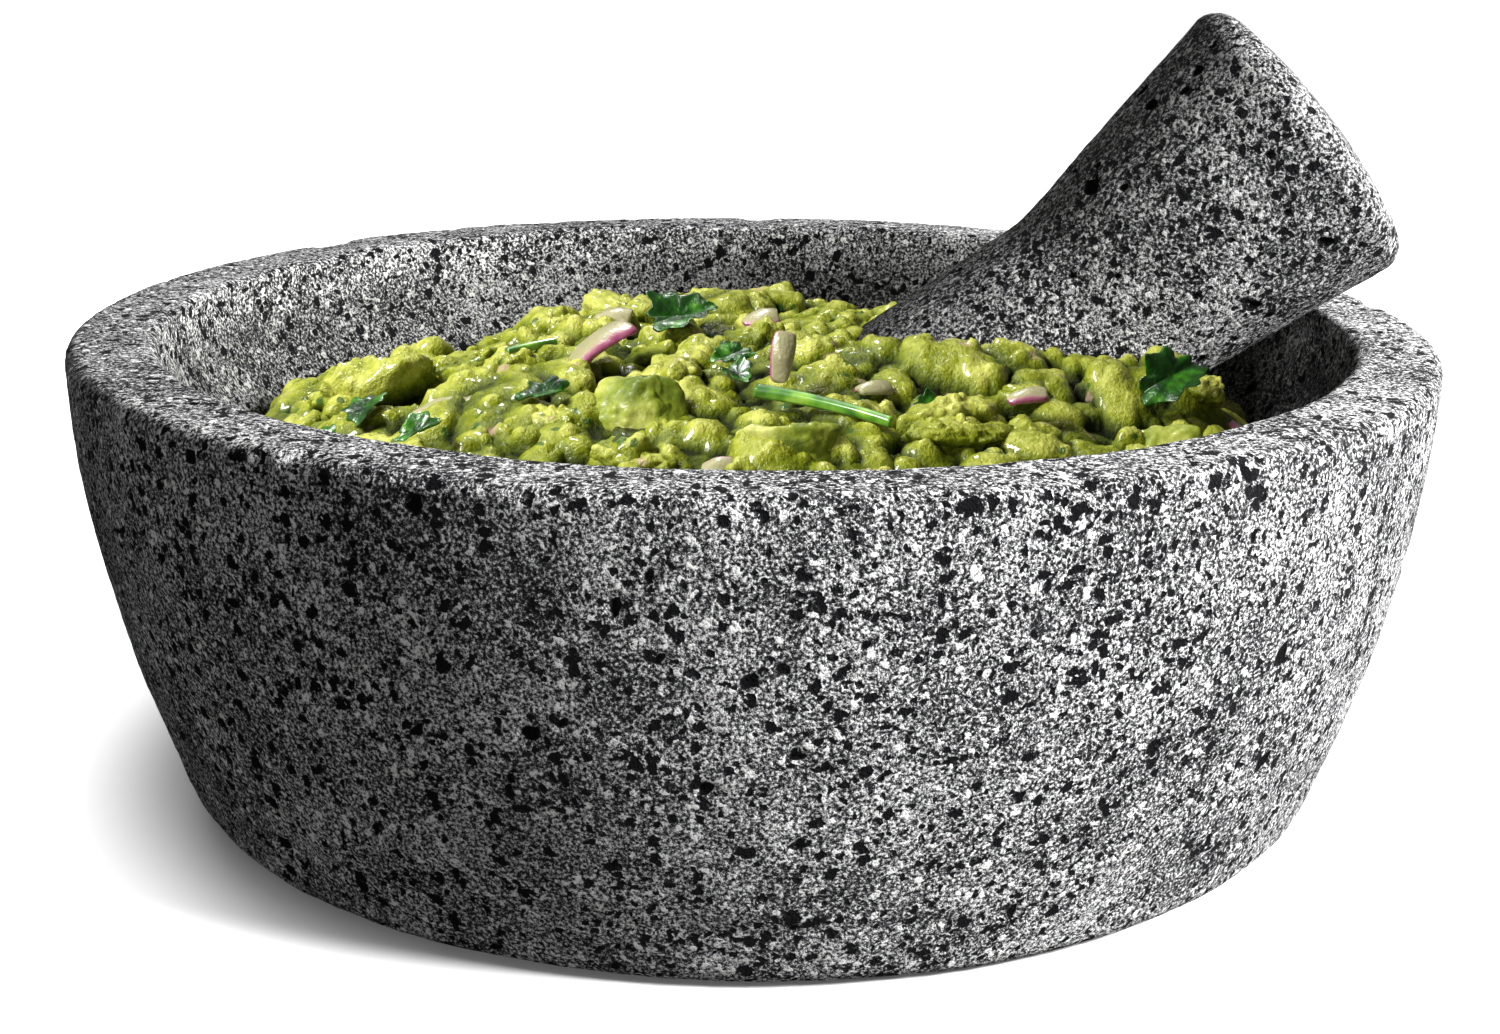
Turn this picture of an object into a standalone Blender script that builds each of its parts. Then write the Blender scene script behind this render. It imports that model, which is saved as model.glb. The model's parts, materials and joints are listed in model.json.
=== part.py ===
# Molcajete: a low, thick bowl carved from vesicular basalt, its waisted stone tejolote (pestle)
# leaning on the rim, and the heap of chunky guacamole that it stands in.
# Metres, +Z up. The origin is the centre of the bowl's flat foot.

from math import cos, exp, hypot, pi, radians, sin, sqrt

import bmesh
import bpy
from mathutils import Matrix, Vector

MM = 0.001
GAP = 0.5 * MM

# Bowl
RIM_RADIUS = 108 * MM
BOWL_HEIGHT = 72.6 * MM
RIM_WIDTH = 13.4 * MM
RIM_EDGE_ROUND = 2.0 * MM
INNER_EDGE_CHAMFER = 0.7 * MM
SIDE_TAPER = 16.1 * MM
TAPER_POWER = 1.87
FOOT_ROUND_HEIGHT = 3 * MM
FOOT_RADIUS = 87 * MM
FLOOR_THICKNESS = 18.8 * MM
BOWL_SEGMENTS = 84

HOLLOW_RADIUS = RIM_RADIUS - RIM_WIDTH
HOLLOW_DEPTH = BOWL_HEIGHT - FLOOR_THICKNESS

# Tejolote, measured along its own axis from its lower end to its upper end
TEJOLOTE_LENGTH = 92 * MM
TEJOLOTE_UPPER_RADIUS = 26.2 * MM
TEJOLOTE_LOWER_RADIUS = 23.8 * MM
TEJOLOTE_WAIST_RADIUS = 19.5 * MM
TEJOLOTE_WAIST_HEIGHT = 46 * MM
TEJOLOTE_END_DOME = 2.5 * MM
TEJOLOTE_END_ROUND = 4 * MM
TEJOLOTE_SEGMENTS = 40
TEJOLOTE_FOOT = Vector((22.5, 14, 41.2)) * MM
TEJOLOTE_TILT = radians(90 - 41.7)
BORE_RADIUS = TEJOLOTE_LOWER_RADIUS + 0.6 * MM

# Guacamole heap
HEAP_EDGE_HEIGHT = 51.6 * MM
HEAP_CROWN = 18 * MM
HEAP_RADIUS = 86 * MM
HEAP_SHOULDER = 0.6
HEAP_RINGS = 19
HEAP_UNDERSIDE_RINGS = 9
BED_REACH = 9 * MM


def clear_scene():
    for found in list(bpy.data.objects):
        bpy.data.objects.remove(found, do_unlink=True)


def make_material(name, colour, roughness):
    made = bpy.data.materials.new(name)
    made.use_nodes = True
    shader = made.node_tree.nodes["Principled BSDF"]
    shader.inputs["Base Color"].default_value = (*colour, 1)
    shader.inputs["Roughness"].default_value = roughness
    shader.inputs["Metallic"].default_value = 0
    return made


def add_object(name, points, faces, finish, parent=None, placed=None, smooth=True):
    mesh = bpy.data.meshes.new(name)
    mesh.from_pydata([tuple(point) for point in points], [], faces)
    shape = bmesh.new()
    shape.from_mesh(mesh)
    bmesh.ops.recalc_face_normals(shape, faces=shape.faces)
    shape.to_mesh(mesh)
    shape.free()
    mesh.materials.append(finish)
    if smooth:
        mesh.shade_smooth()
        mesh.set_sharp_from_angle(angle=radians(40))
    made = bpy.data.objects.new(name, mesh)
    bpy.context.scene.collection.objects.link(made)
    made.parent = parent
    if placed is not None:
        made.matrix_local = placed
    return made


# A closed body turned from a profile of (radius, height) points that starts and ends on the axis.
def turned(profile, segments):
    rings = profile[1:-1]
    points = [(0, 0, profile[0][1])]
    for radius, height in rings:
        for step in range(segments):
            turn = 2 * pi * step / segments
            points.append((radius * cos(turn), radius * sin(turn), height))
    points.append((0, 0, profile[-1][1]))
    return points, turned_faces(len(rings), segments)


# A fan round each pole and a quad band between each pair of rings.
def turned_faces(ring_count, segments):
    last = ring_count * segments + 1
    faces = []
    for step in range(segments):
        after = (step + 1) % segments
        faces.append((0, 1 + step, 1 + after))
        for ring in range(ring_count - 1):
            low = 1 + ring * segments
            high = low + segments
            faces.append((low + step, high + step, high + after, low + after))
        top = 1 + (ring_count - 1) * segments
        faces.append((last, top + after, top + step))
    return faces


# Points of a quadratic curve from start to end, pulled towards the corner, without its start.
def rounded(start, corner, end, steps):
    made = []
    for step in range(1, steps + 1):
        t = step / steps
        made.append(tuple(
            (1 - t) ** 2 * a + 2 * t * (1 - t) * b + t * t * c
            for a, b, c in zip(start, corner, end)
        ))
    return made


# Outer radius of the bowl: the rim's, less a taper that grows with a power of the drop below it.
def side_radius(height):
    drop = (BOWL_HEIGHT - height) / BOWL_HEIGHT
    return RIM_RADIUS - SIDE_TAPER * drop ** TAPER_POWER


# Height of the hollow at a radius: half an ellipse hung from the rim plane.
def hollow_height(radius):
    return BOWL_HEIGHT - HOLLOW_DEPTH * sqrt(max(0, 1 - (radius / HOLLOW_RADIUS) ** 2))


def bowl_profile():
    side_steps = 7
    hollow_steps = 11
    profile = [(0, 0), (FOOT_RADIUS, 0)]
    round_top = (side_radius(FOOT_ROUND_HEIGHT), FOOT_ROUND_HEIGHT)
    profile += rounded(profile[-1], (side_radius(0), 0), round_top, 4)
    side_top = BOWL_HEIGHT - RIM_EDGE_ROUND
    for step in range(1, side_steps + 1):
        height = FOOT_ROUND_HEIGHT + (side_top - FOOT_ROUND_HEIGHT) * step / side_steps
        profile.append((side_radius(height), height))
    rim_start = (RIM_RADIUS - RIM_EDGE_ROUND, BOWL_HEIGHT)
    profile += rounded(profile[-1], (RIM_RADIUS, BOWL_HEIGHT), rim_start, 3)
    profile.append((HOLLOW_RADIUS + INNER_EDGE_CHAMFER, BOWL_HEIGHT))
    first = INNER_EDGE_CHAMFER / HOLLOW_DEPTH
    for step in range(hollow_steps):
        angle = first + (pi / 2 - first) * step / hollow_steps
        drop = HOLLOW_DEPTH * sin(angle)
        profile.append((HOLLOW_RADIUS * cos(angle), BOWL_HEIGHT - drop))
    profile.append((0, FLOOR_THICKNESS))
    return profile


def make_bowl():
    points, faces = turned(bowl_profile(), BOWL_SEGMENTS)
    stone = make_material("bowl_basalt", (0.13, 0.13, 0.135), 0.85)
    return add_object("bowl", points, faces, stone)


# Radius of the tejolote: narrowest at the waist, swelling to both ends.
def tejolote_radius(height):
    if height > TEJOLOTE_WAIST_HEIGHT:
        reach = (height - TEJOLOTE_WAIST_HEIGHT) / (TEJOLOTE_LENGTH - TEJOLOTE_WAIST_HEIGHT)
        return TEJOLOTE_WAIST_RADIUS + (TEJOLOTE_UPPER_RADIUS - TEJOLOTE_WAIST_RADIUS) * reach ** 1.2
    reach = (TEJOLOTE_WAIST_HEIGHT - height) / TEJOLOTE_WAIST_HEIGHT
    swell = sin(pi / 2 * reach) ** 1.3
    return TEJOLOTE_WAIST_RADIUS + (TEJOLOTE_LOWER_RADIUS - TEJOLOTE_WAIST_RADIUS) * swell


def tejolote_profile():
    side_steps = 11
    low = TEJOLOTE_END_ROUND
    high = TEJOLOTE_LENGTH - TEJOLOTE_END_ROUND
    low_flat = tejolote_radius(low) - TEJOLOTE_END_ROUND
    high_flat = tejolote_radius(high) - TEJOLOTE_END_ROUND
    profile = [(0, -TEJOLOTE_END_DOME), (low_flat / 2, -0.75 * TEJOLOTE_END_DOME), (low_flat, 0)]
    profile += rounded(profile[-1], (tejolote_radius(0), 0.3 * MM), (tejolote_radius(low), low), 3)
    for step in range(1, side_steps + 1):
        height = low + (high - low) * step / side_steps
        profile.append((tejolote_radius(height), height))
    top = TEJOLOTE_LENGTH
    profile += rounded(profile[-1], (tejolote_radius(top), top - 0.3 * MM), (high_flat, top), 3)
    profile += [(high_flat / 2, top + 0.75 * TEJOLOTE_END_DOME), (0, top + TEJOLOTE_END_DOME)]
    return profile


def tejolote_place():
    return Matrix.Translation(TEJOLOTE_FOOT) @ Matrix.Rotation(TEJOLOTE_TILT, 4, "Y")


def make_tejolote():
    points, faces = turned(tejolote_profile(), TEJOLOTE_SEGMENTS)
    stone = make_material("tejolote_basalt", (0.14, 0.14, 0.145), 0.85)
    return add_object("tejolote", points, faces, stone, placed=tejolote_place())


# The way that the tejolote's lower end takes when it is drawn out, as a cutter for the heap.
def make_bore():
    below = TEJOLOTE_END_DOME + 0.6 * MM
    profile = [(0, -below), (BORE_RADIUS, -below), (BORE_RADIUS, TEJOLOTE_LENGTH), (0, TEJOLOTE_LENGTH)]
    points, faces = turned(profile, TEJOLOTE_SEGMENTS)
    stone = make_material("bore_guide", (0.5, 0.5, 0.5), 1)
    bore = add_object("bore_guide", points, faces, stone, placed=tejolote_place(), smooth=False)
    bore.hide_render = True
    bore.display_type = "WIRE"
    return bore


# A smooth step from 0 to 1 between two limits.
def ramp(value, start, end):
    t = min(1, max(0, (value - start) / (end - start)))
    return t * t * (3 - 2 * t)


# The heap without its lumps: a domed mound, and the ridge that the tejolote pushes up before it.
def mound_height(x, y):
    radius = min(1, hypot(x, y) / HEAP_RADIUS)
    mound = HEAP_EDGE_HEIGHT + HEAP_CROWN * (1 - radius * radius) ** HEAP_SHOULDER
    along = ramp(x, 6 * MM, 24 * MM) * (1 - ramp(x, 70 * MM, 79 * MM))
    crest = 4 * MM + 4 * MM * exp(-(((x - 64 * MM) / (10 * MM)) ** 2))
    return mound + along * crest * exp(-(((y + 12 * MM) / (9 * MM)) ** 2))


# The mound with lumps a couple of centimetres across, which fade out towards its edge.
def heap_height(x, y):
    u = x / MM
    v = y / MM
    broad = 1.5 * sin(0.17 * u + 0.4) * sin(0.19 * v + 1.1)
    fine = 1.1 * sin(0.31 * u - 0.22 * v + 2.0) * sin(0.24 * u + 0.33 * v + 0.6)
    fade = 1 - ramp(hypot(x, y), 0.80 * HEAP_RADIUS, HEAP_RADIUS)
    return mound_height(x, y) + (broad + fine) * fade * MM


# A piece's place on the heap: sunk by its bed, turned, tipped to the slope and then leant over.
def seat(x, y, bed, turn, lean=0, roll=0):
    step = MM
    slope_x = (mound_height(x + step, y) - mound_height(x - step, y)) / (2 * step)
    slope_y = (mound_height(x, y + step) - mound_height(x, y - step)) / (2 * step)
    normal = Vector((-slope_x, -slope_y, 1)).normalized()
    tip = Vector((0, 0, 1)).rotation_difference(normal).to_matrix().to_4x4()
    spin = Matrix.Rotation(radians(turn), 4, "Z")
    tilt = Matrix.Rotation(radians(lean), 4, "X") @ Matrix.Rotation(radians(roll), 4, "Y")
    return Matrix.Translation((x, y, heap_height(x, y) - bed)) @ tip @ spin @ tilt


# A lump of avocado: a squashed ball, waved a little, with flats where a blade cut it.
def chunk_shape(length, width, height, flats, detail):
    shape = bmesh.new()
    bmesh.ops.create_icosphere(shape, subdivisions=detail, radius=1)
    for vert in shape.verts:
        point = vert.co
        point *= 1 + 0.07 * sin(3.1 * point.x + 2.3 * point.y) * cos(2.7 * point.z + point.x)
        for turn, rise, reach in flats:
            flat = Vector((
                cos(radians(turn)) * cos(radians(rise)),
                sin(radians(turn)) * cos(radians(rise)),
                sin(radians(rise)),
            ))
            point -= flat * 0.85 * max(0, point.dot(flat) - reach)
        vert.co = Vector((point.x * length / 2, point.y * width / 2, point.z * height / 2))
    points = [vert.co.copy() for vert in shape.verts]
    faces = [tuple(vert.index for vert in face.verts) for face in shape.faces]
    shape.free()
    return points, faces


# A closed strip between an upper and a lower grid of points of the same size.
def strip_faces(rows, columns):
    size = rows * columns
    faces = []
    for row in range(rows - 1):
        for column in range(columns - 1):
            a = row * columns + column
            b = a + 1
            c = a + columns + 1
            d = a + columns
            faces.append((a, b, c, d))
            faces.append((size + d, size + c, size + b, size + a))
    edge = [column for column in range(columns)]
    edge += [row * columns + columns - 1 for row in range(1, rows)]
    edge += [(rows - 1) * columns + column for column in reversed(range(columns - 1))]
    edge += [row * columns for row in reversed(range(1, rows - 1))]
    for index, start in enumerate(edge):
        end = edge[(index + 1) % len(edge)]
        faces.append((start, size + start, size + end, end))
    return faces


# A sliver of onion: a piece of one layer, arched along its length and narrower at its ends.
def onion_shape(length, width, thickness, arch):
    rows = 7
    columns = 4
    grids = []
    for side in (1, -1):
        for row in range(rows):
            t = 2 * row / (rows - 1) - 1
            half_width = width / 2 * (1 - 0.45 * t * t)
            for column in range(columns):
                s = 2 * column / (columns - 1) - 1
                rise = arch * (1 - t * t) - 0.15 * width * s * s + side * thickness / 2
                grids.append((length / 2 * t, half_width * s, rise))
    return grids, strip_faces(rows, columns)


# A cilantro leaf: three lobes with toothed edges, folded up along its midrib and curled at its tip.
def leaf_shape(length, width, fold, curl):
    outline = 18
    thickness = 0.7 * MM
    points = []
    for side in (1, -1):
        points.append((0, 0, side * thickness / 2))
        for ring in (0.55, 1):
            for step in range(outline):
                turn = 2 * pi * step / outline
                lobes = 0.78 + 0.22 * cos(3 * turn) + 0.07 * cos(9 * turn)
                x = length / 2 * ring * lobes * cos(turn)
                y = width / 2 * ring * lobes * sin(turn)
                rise = fold * abs(y) + curl * (x * x) / length
                points.append((x, y, rise + side * thickness / 2))
    return points, leaf_faces(outline)


def leaf_faces(outline):
    size = 1 + 2 * outline
    faces = []
    for step in range(outline):
        after = (step + 1) % outline
        inner, inner_after = 1 + step, 1 + after
        outer, outer_after = 1 + outline + step, 1 + outline + after
        faces.append((0, inner, inner_after))
        faces.append((inner, outer, outer_after, inner_after))
        faces.append((size, size + inner_after, size + inner))
        faces.append((size + inner, size + inner_after, size + outer_after, size + outer))
        faces.append((outer, size + outer, size + outer_after, outer_after))
    return faces


# A cut length of stem: a round rod bowed sideways, with flat ends.
def stem_shape(length, diameter, bow):
    rows = 8
    sides = 8
    points = [(-length / 2, 0, 0)]
    for row in range(rows):
        t = 2 * row / (rows - 1) - 1
        for step in range(sides):
            turn = 2 * pi * step / sides
            side = diameter / 2 * cos(turn) + bow * (1 - t * t)
            points.append((length / 2 * t, side, diameter / 2 * sin(turn)))
    points.append((length / 2, 0, 0))
    return points, turned_faces(rows, sides)


class Heap:
    # The guacamole: pieces are laid first, and the paste is then drawn in under and around them.
    def __init__(self):
        self.axis = bpy.data.objects.new("stir_axis", None)
        bpy.context.scene.collection.objects.link(self.axis)
        self.flesh = make_material("avocado_flesh", (0.42, 0.46, 0.10), 0.35)
        self.onion = make_material("red_onion", (0.72, 0.42, 0.50), 0.25)
        self.leaf = make_material("cilantro_leaf", (0.03, 0.13, 0.02), 0.45)
        self.stem = make_material("cilantro_stem", (0.12, 0.28, 0.03), 0.4)
        self.laid = []

    def lay(self, name, shape, finish, place):
        points, faces = shape
        add_object(name, points, faces, finish, parent=self.axis, placed=place)
        self.laid += [place @ Vector(point) for point in points]

    def lay_chunk(self, name, x, y, size, bed, turn, flats=(), detail=2, lean=0):
        place = seat(x * MM, y * MM, bed * MM, turn, lean)
        length, width, height = size
        shape = chunk_shape(length * MM, width * MM, height * MM, flats, detail)
        self.lay("avocado_" + name, shape, self.flesh, place)

    def lay_onion(self, name, x, y, size, turn, lean=0, roll=0, bed=-0.6):
        place = seat(x * MM, y * MM, bed * MM, turn, lean, roll)
        length, width, thickness, arch = size
        shape = onion_shape(length * MM, width * MM, thickness * MM, arch * MM)
        self.lay("onion_" + name, shape, self.onion, place)

    def lay_leaf(self, name, x, y, size, turn, fold=0.35, curl=0.2, lean=0, roll=0, bed=-0.6):
        place = seat(x * MM, y * MM, bed * MM, turn, lean, roll)
        length, width = size
        shape = leaf_shape(length * MM, width * MM, fold, curl)
        self.lay("cilantro_leaf_" + name, shape, self.leaf, place)

    def lay_stem(self, name, x, y, length, diameter, bow, turn, lift):
        place = seat(x * MM, y * MM, -lift * MM, turn)
        shape = stem_shape(length * MM, diameter * MM, bow * MM)
        self.lay("cilantro_stem_" + name, shape, self.stem, place)

    # Height of the paste's top: the heap, drawn down below whatever lies on it close by.
    def paste_height(self, x, y):
        height = heap_height(x, y)
        for point in self.laid:
            if hypot(point.x - x, point.y - y) < BED_REACH:
                height = min(height, point.z - GAP)
        return height

    # The paste fills the hollow up to the heap's top, and its tejolote bore is cut out of it.
    def make_paste(self, bore):
        edge = HOLLOW_RADIUS * sqrt(1 - ((BOWL_HEIGHT - HEAP_EDGE_HEIGHT) / HOLLOW_DEPTH) ** 2)
        edge -= 1.5 * GAP
        points = [(0, 0, FLOOR_THICKNESS + GAP)]
        for ring in range(1, HEAP_UNDERSIDE_RINGS + 1):
            radius = edge * sin(pi / 2 * ring / HEAP_UNDERSIDE_RINGS)
            height = hollow_height(radius + GAP) + GAP
            points += self.paste_ring(radius, lambda x, y: height)
        for ring in range(HEAP_RINGS):
            radius = edge * cos(pi / 2 * (ring + 0.5) / (HEAP_RINGS + 0.5))
            points += self.paste_ring(radius, self.paste_height)
        points.append((0, 0, self.paste_height(0, 0)))
        faces = turned_faces(HEAP_UNDERSIDE_RINGS + HEAP_RINGS, BOWL_SEGMENTS)
        paste = make_material("guacamole_paste", (0.34, 0.38, 0.06), 0.4)
        made = add_object("guacamole", points, faces, paste, parent=self.axis)
        cut = made.modifiers.new("tejolote_bore", "BOOLEAN")
        cut.operation = "DIFFERENCE"
        cut.solver = "EXACT"
        cut.object = bore
        return made

    def paste_ring(self, radius, height_at):
        points = []
        for step in range(BOWL_SEGMENTS):
            turn = 2 * pi * step / BOWL_SEGMENTS
            x = radius * cos(turn)
            y = radius * sin(turn)
            points.append((x, y, height_at(x, y)))
        return points


def lay_avocado(heap):
    heap.lay_chunk("dome_left", -62, -7, (25, 19, 11), 1.5, 20)
    heap.lay_chunk("slab_front", -17, -41, (18, 13, 9), 1.2, 15, ((90, 55, 0.45), (-60, 30, 0.7)))
    heap.lay_chunk("wet_front", -16, -54, (13, 7, 5), 0.6, -8, ((80, 60, 0.5),))
    heap.lay_chunk("block_front", 6, -53, (15, 9, 7), 0.8, -15, ((100, 50, 0.5), (0, 20, 0.75)))
    heap.lay_chunk("tan_back", -45, 6, (12, 8, 5), 0.6, 25, ((90, 70, 0.5),), 1)
    heap.lay_chunk("knob_back", -35, 24, (8, 7, 6), 0.6, 0, (), 1)
    heap.lay_chunk("brown_right", 30, -43, (18, 9, 6), 0.8, 8, ((90, 60, 0.5),))
    heap.lay_chunk("knob_right", 71, -15, (9, 8, 6), 0.6, 30, (), 1)
    heap.lay_chunk("ridge", 7, -6, (11, 8, 6), 0.6, 60, (), 1)
    heap.lay_chunk("corner_right", 62, -34, (12, 9, 6), 0.8, -30, ((90, 60, 0.6),), 1)


def lay_onions(heap):
    heap.lay_onion("sliver_long", -26, -12, (16, 7, 1.6, 1.6), 32, roll=-8, bed=-1.4)
    heap.lay_onion("standing", 4, -33, (7.5, 4, 1.4, 0.4), 80, lean=4, roll=-68, bed=-4.2)
    heap.lay_onion("dice_top", 1, 10, (6, 4.5, 1.8, 0.5), 10, lean=20, bed=-1.2)
    heap.lay_onion("dice_back", -24, 20, (6, 4.5, 1.8, 0.4), -15, lean=18, bed=-1.2)
    heap.lay_onion("purple_front", -5, -60, (4.5, 4, 1.6, 0.3), 5, lean=20, bed=-1.0)
    heap.lay_onion("pale_left", -46, -29, (12, 6.5, 1.5, 1.0), 5, bed=-1.0)
    heap.lay_onion("pink_ridge", 41, -32, (6, 3.5, 1.5, 0.4), 0, bed=-1.0)
    heap.lay_onion("pink_middle", 18, -32, (5.5, 3.5, 1.5, 0.3), 20, bed=-1.0)
    heap.lay_onion("pink_edge", 77, -16, (4.5, 3, 1.4, 0.3), -60, bed=-0.9)


def lay_cilantro(heap):
    heap.lay_leaf("crown", -14, 8, (13, 11), 20, fold=0.5, curl=0.4, lean=15, bed=-1.4)
    heap.lay_leaf("left", -59, -31, (9, 7), 70, bed=-1.0)
    heap.lay_leaf("left_small", -64, -38, (6, 5), 10, bed=-0.9)
    heap.lay_leaf("left_rim", -49, -47, (8, 5), 20, bed=-0.9)
    heap.lay_leaf("under_onion", -32, -36, (9, 6), 10, bed=-0.9)
    heap.lay_leaf("middle", -4, -22, (8, 6), 40, bed=-1.0)
    heap.lay_leaf("dark_middle", -3, -31, (6, 5), -50, bed=-0.9)
    heap.lay_leaf("right", 26, -33, (7, 5), 30, bed=-0.9)
    heap.lay_leaf("large_right", 63, -21, (13, 9), 35, fold=0.5, curl=0.3, bed=-1.2)
    heap.lay_stem("long", 10, -43, 22, 1.9, 1.2, -28, 1.6)
    heap.lay_stem("short", -36, -5, 9, 1.5, 0.5, 35, 1.1)


def main():
    clear_scene()
    make_bowl()
    make_tejolote()
    bore = make_bore()
    heap = Heap()
    lay_avocado(heap)
    lay_onions(heap)
    lay_cilantro(heap)
    heap.make_paste(bore)


main()
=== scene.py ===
# Molcajete: a carved basalt bowl and its tejolote, filled with chunky guacamole.
# Shapes are worked out in millimetres and put into the scene in metres.
import json
import bpy
import numpy as np
from mathutils import Matrix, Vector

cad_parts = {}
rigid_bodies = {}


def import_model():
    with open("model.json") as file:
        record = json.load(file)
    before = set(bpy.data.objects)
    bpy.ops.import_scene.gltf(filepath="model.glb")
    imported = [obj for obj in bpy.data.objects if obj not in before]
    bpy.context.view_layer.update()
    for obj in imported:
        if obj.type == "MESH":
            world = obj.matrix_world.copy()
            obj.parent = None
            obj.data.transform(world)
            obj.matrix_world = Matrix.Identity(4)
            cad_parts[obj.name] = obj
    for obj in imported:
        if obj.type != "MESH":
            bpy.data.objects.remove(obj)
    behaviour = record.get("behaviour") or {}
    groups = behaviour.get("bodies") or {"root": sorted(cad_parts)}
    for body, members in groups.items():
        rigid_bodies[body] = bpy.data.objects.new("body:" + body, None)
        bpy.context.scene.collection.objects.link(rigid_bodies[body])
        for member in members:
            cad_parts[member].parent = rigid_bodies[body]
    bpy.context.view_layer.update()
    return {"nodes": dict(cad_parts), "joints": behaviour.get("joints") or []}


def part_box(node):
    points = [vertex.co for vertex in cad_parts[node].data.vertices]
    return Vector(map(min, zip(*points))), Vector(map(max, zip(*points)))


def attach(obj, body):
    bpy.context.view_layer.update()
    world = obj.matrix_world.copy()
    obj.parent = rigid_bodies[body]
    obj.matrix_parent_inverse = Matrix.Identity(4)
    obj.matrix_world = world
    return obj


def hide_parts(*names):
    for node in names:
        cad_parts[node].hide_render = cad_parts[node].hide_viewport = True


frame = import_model()

mm = 0.001


# One number from 0 to 1 for each whole-number cell and seed: the fraction left by a large sine.
def cellNumber(ix, iy, iz, seed):
    wave = np.sin(ix * 127.1 + iy * 311.7 + iz * 74.7 + seed * 53.31) * 43758.5453
    return wave - np.floor(wave)


# Smooth noise around 0, from -1 to 1: the eight corner numbers of a cell, blended by a smooth step.
def cloud(points, size, seed):
    q = points / size
    base = np.floor(q)
    f = q - base
    f = f * f * (3 - 2 * f)
    total = 0
    for dx in (0, 1):
        for dy in (0, 1):
            for dz in (0, 1):
                weight = (
                    np.where(dx, f[..., 0], 1 - f[..., 0])
                    * np.where(dy, f[..., 1], 1 - f[..., 1])
                    * np.where(dz, f[..., 2], 1 - f[..., 2])
                )
                corner = cellNumber(base[..., 0] + dx, base[..., 1] + dy, base[..., 2] + dz, seed)
                total = total + weight * corner
    return 2 * total - 1


# Octaves of the smooth noise: each half the size and a little over half the strength.
def clouds(points, size, seed, octaves=3):
    total = 0
    strength = 1
    for octave in range(octaves):
        total = total + strength * cloud(points, size / 2 ** octave, seed + octave)
        strength *= 0.55
    return total


# Depth of round holes cut at a surface: a ball in some cells, and the height of the ball's inside
# below each point, the deepest one winning.
def pits(points, cell, small, large, share, seed):
    q = points / cell
    base = np.floor(q)
    deepest = np.zeros(points.shape[:-1])
    for dx in (-1, 0, 1):
        for dy in (-1, 0, 1):
            for dz in (-1, 0, 1):
                ix, iy, iz = base[..., 0] + dx, base[..., 1] + dy, base[..., 2] + dz
                centre = np.stack([
                    ix + cellNumber(ix, iy, iz, seed),
                    iy + cellNumber(ix, iy, iz, seed + 1),
                    iz + cellNumber(ix, iy, iz, seed + 2),
                ], -1)
                reach = small + (large - small) * cellNumber(ix, iy, iz, seed + 3) ** 2
                there = cellNumber(ix, iy, iz, seed + 4) < share
                away = np.linalg.norm((q - centre) * cell, axis=-1)
                depth = np.sqrt(np.maximum(0, reach ** 2 - away ** 2)) * there
                deepest = np.maximum(deepest, depth)
    return deepest


# A smooth step from 0 to 1 between two limits.
def ramp(value, start, end):
    t = np.clip((value - start) / (end - start), 0, 1)
    return t * t * (3 - 2 * t)


# Quads of a grid whose points are stored row by row, joined round its columns if it is closed.
def gridQuads(rows, columns, closed=True):
    last = columns if closed else columns - 1
    row = np.arange(rows - 1)[:, None] * columns
    column = np.arange(last)[None, :]
    after = (column + 1) % columns
    quads = np.stack([row + column, row + after, row + columns + after, row + columns + column], -1)
    return quads.reshape(-1, 4)


# Triangles from a ring of points to one pole point.
def poleFan(pole, ringStart, columns, flip=False):
    column = np.arange(columns)
    after = (column + 1) % columns
    fan = np.stack([np.full(columns, pole), ringStart + after, ringStart + column], -1)
    return fan[:, ::-1] if flip else fan


# A closed shape from rings of points (rows, columns, 3), with a pole at each end.
def closedRings(rings, firstPole, lastPole):
    rows, columns = rings.shape[:2]
    points = np.concatenate([rings.reshape(-1, 3), [firstPole], [lastPole]])
    faces = gridQuads(rows, columns).tolist()
    faces += poleFan(rows * columns, 0, columns).tolist()
    faces += poleFan(rows * columns + 1, (rows - 1) * columns, columns, flip=True).tolist()
    return points, faces


# Puts millimetre points into a mesh, smooth shaded, with any numbers for each point as attributes.
def putMesh(name, points, faces, finish, body, nodes=(), numbers=None):
    mesh = bpy.data.meshes.new(name)
    mesh.from_pydata((np.asarray(points) * mm).tolist(), [], faces)
    for label, values in (numbers or {}).items():
        layer = mesh.attributes.new(label, "FLOAT", "POINT")
        layer.data.foreach_set("value", np.asarray(values, dtype=np.float32).ravel())
    mesh.shade_smooth()
    mesh.materials.append(finish)
    piece = bpy.data.objects.new(name, mesh)
    bpy.context.scene.collection.objects.link(piece)
    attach(piece, body)
    if nodes:
        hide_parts(*nodes)


# Several closed shapes as one list of points and faces.
def gather(shapes):
    points, faces, count = [], [], 0
    for shapePoints, shapeFaces in shapes:
        points.append(shapePoints)
        faces += [[index + count for index in face] for face in shapeFaces]
        count += len(shapePoints)
    return np.concatenate(points), faces


# A CAD node's points in millimetres.
def nodePoints(node):
    mesh = frame["nodes"][node].data
    flat = np.zeros(len(mesh.vertices) * 3)
    mesh.vertices.foreach_get("co", flat)
    return flat.reshape(-1, 3) / mm


# A CAD node's own axes, longest first and the thin one upwards, with its middle and its extents.
def nodeFrame(node):
    points = np.unique(nodePoints(node).round(4), axis=0)
    middle = points.mean(0)
    axes = np.linalg.eigh(np.cov((points - middle).T))[1]
    axes = axes[:, ::-1].T
    axes[2] *= 1 if axes[2][2] >= 0 else -1
    axes[0] *= 1 if axes[0][0] >= 0 else -1
    axes[1] = np.cross(axes[2], axes[0])
    local = (points - middle) @ axes.T
    low, high = local.min(0), local.max(0)
    return middle + ((low + high) / 2) @ axes, axes, high - low


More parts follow.
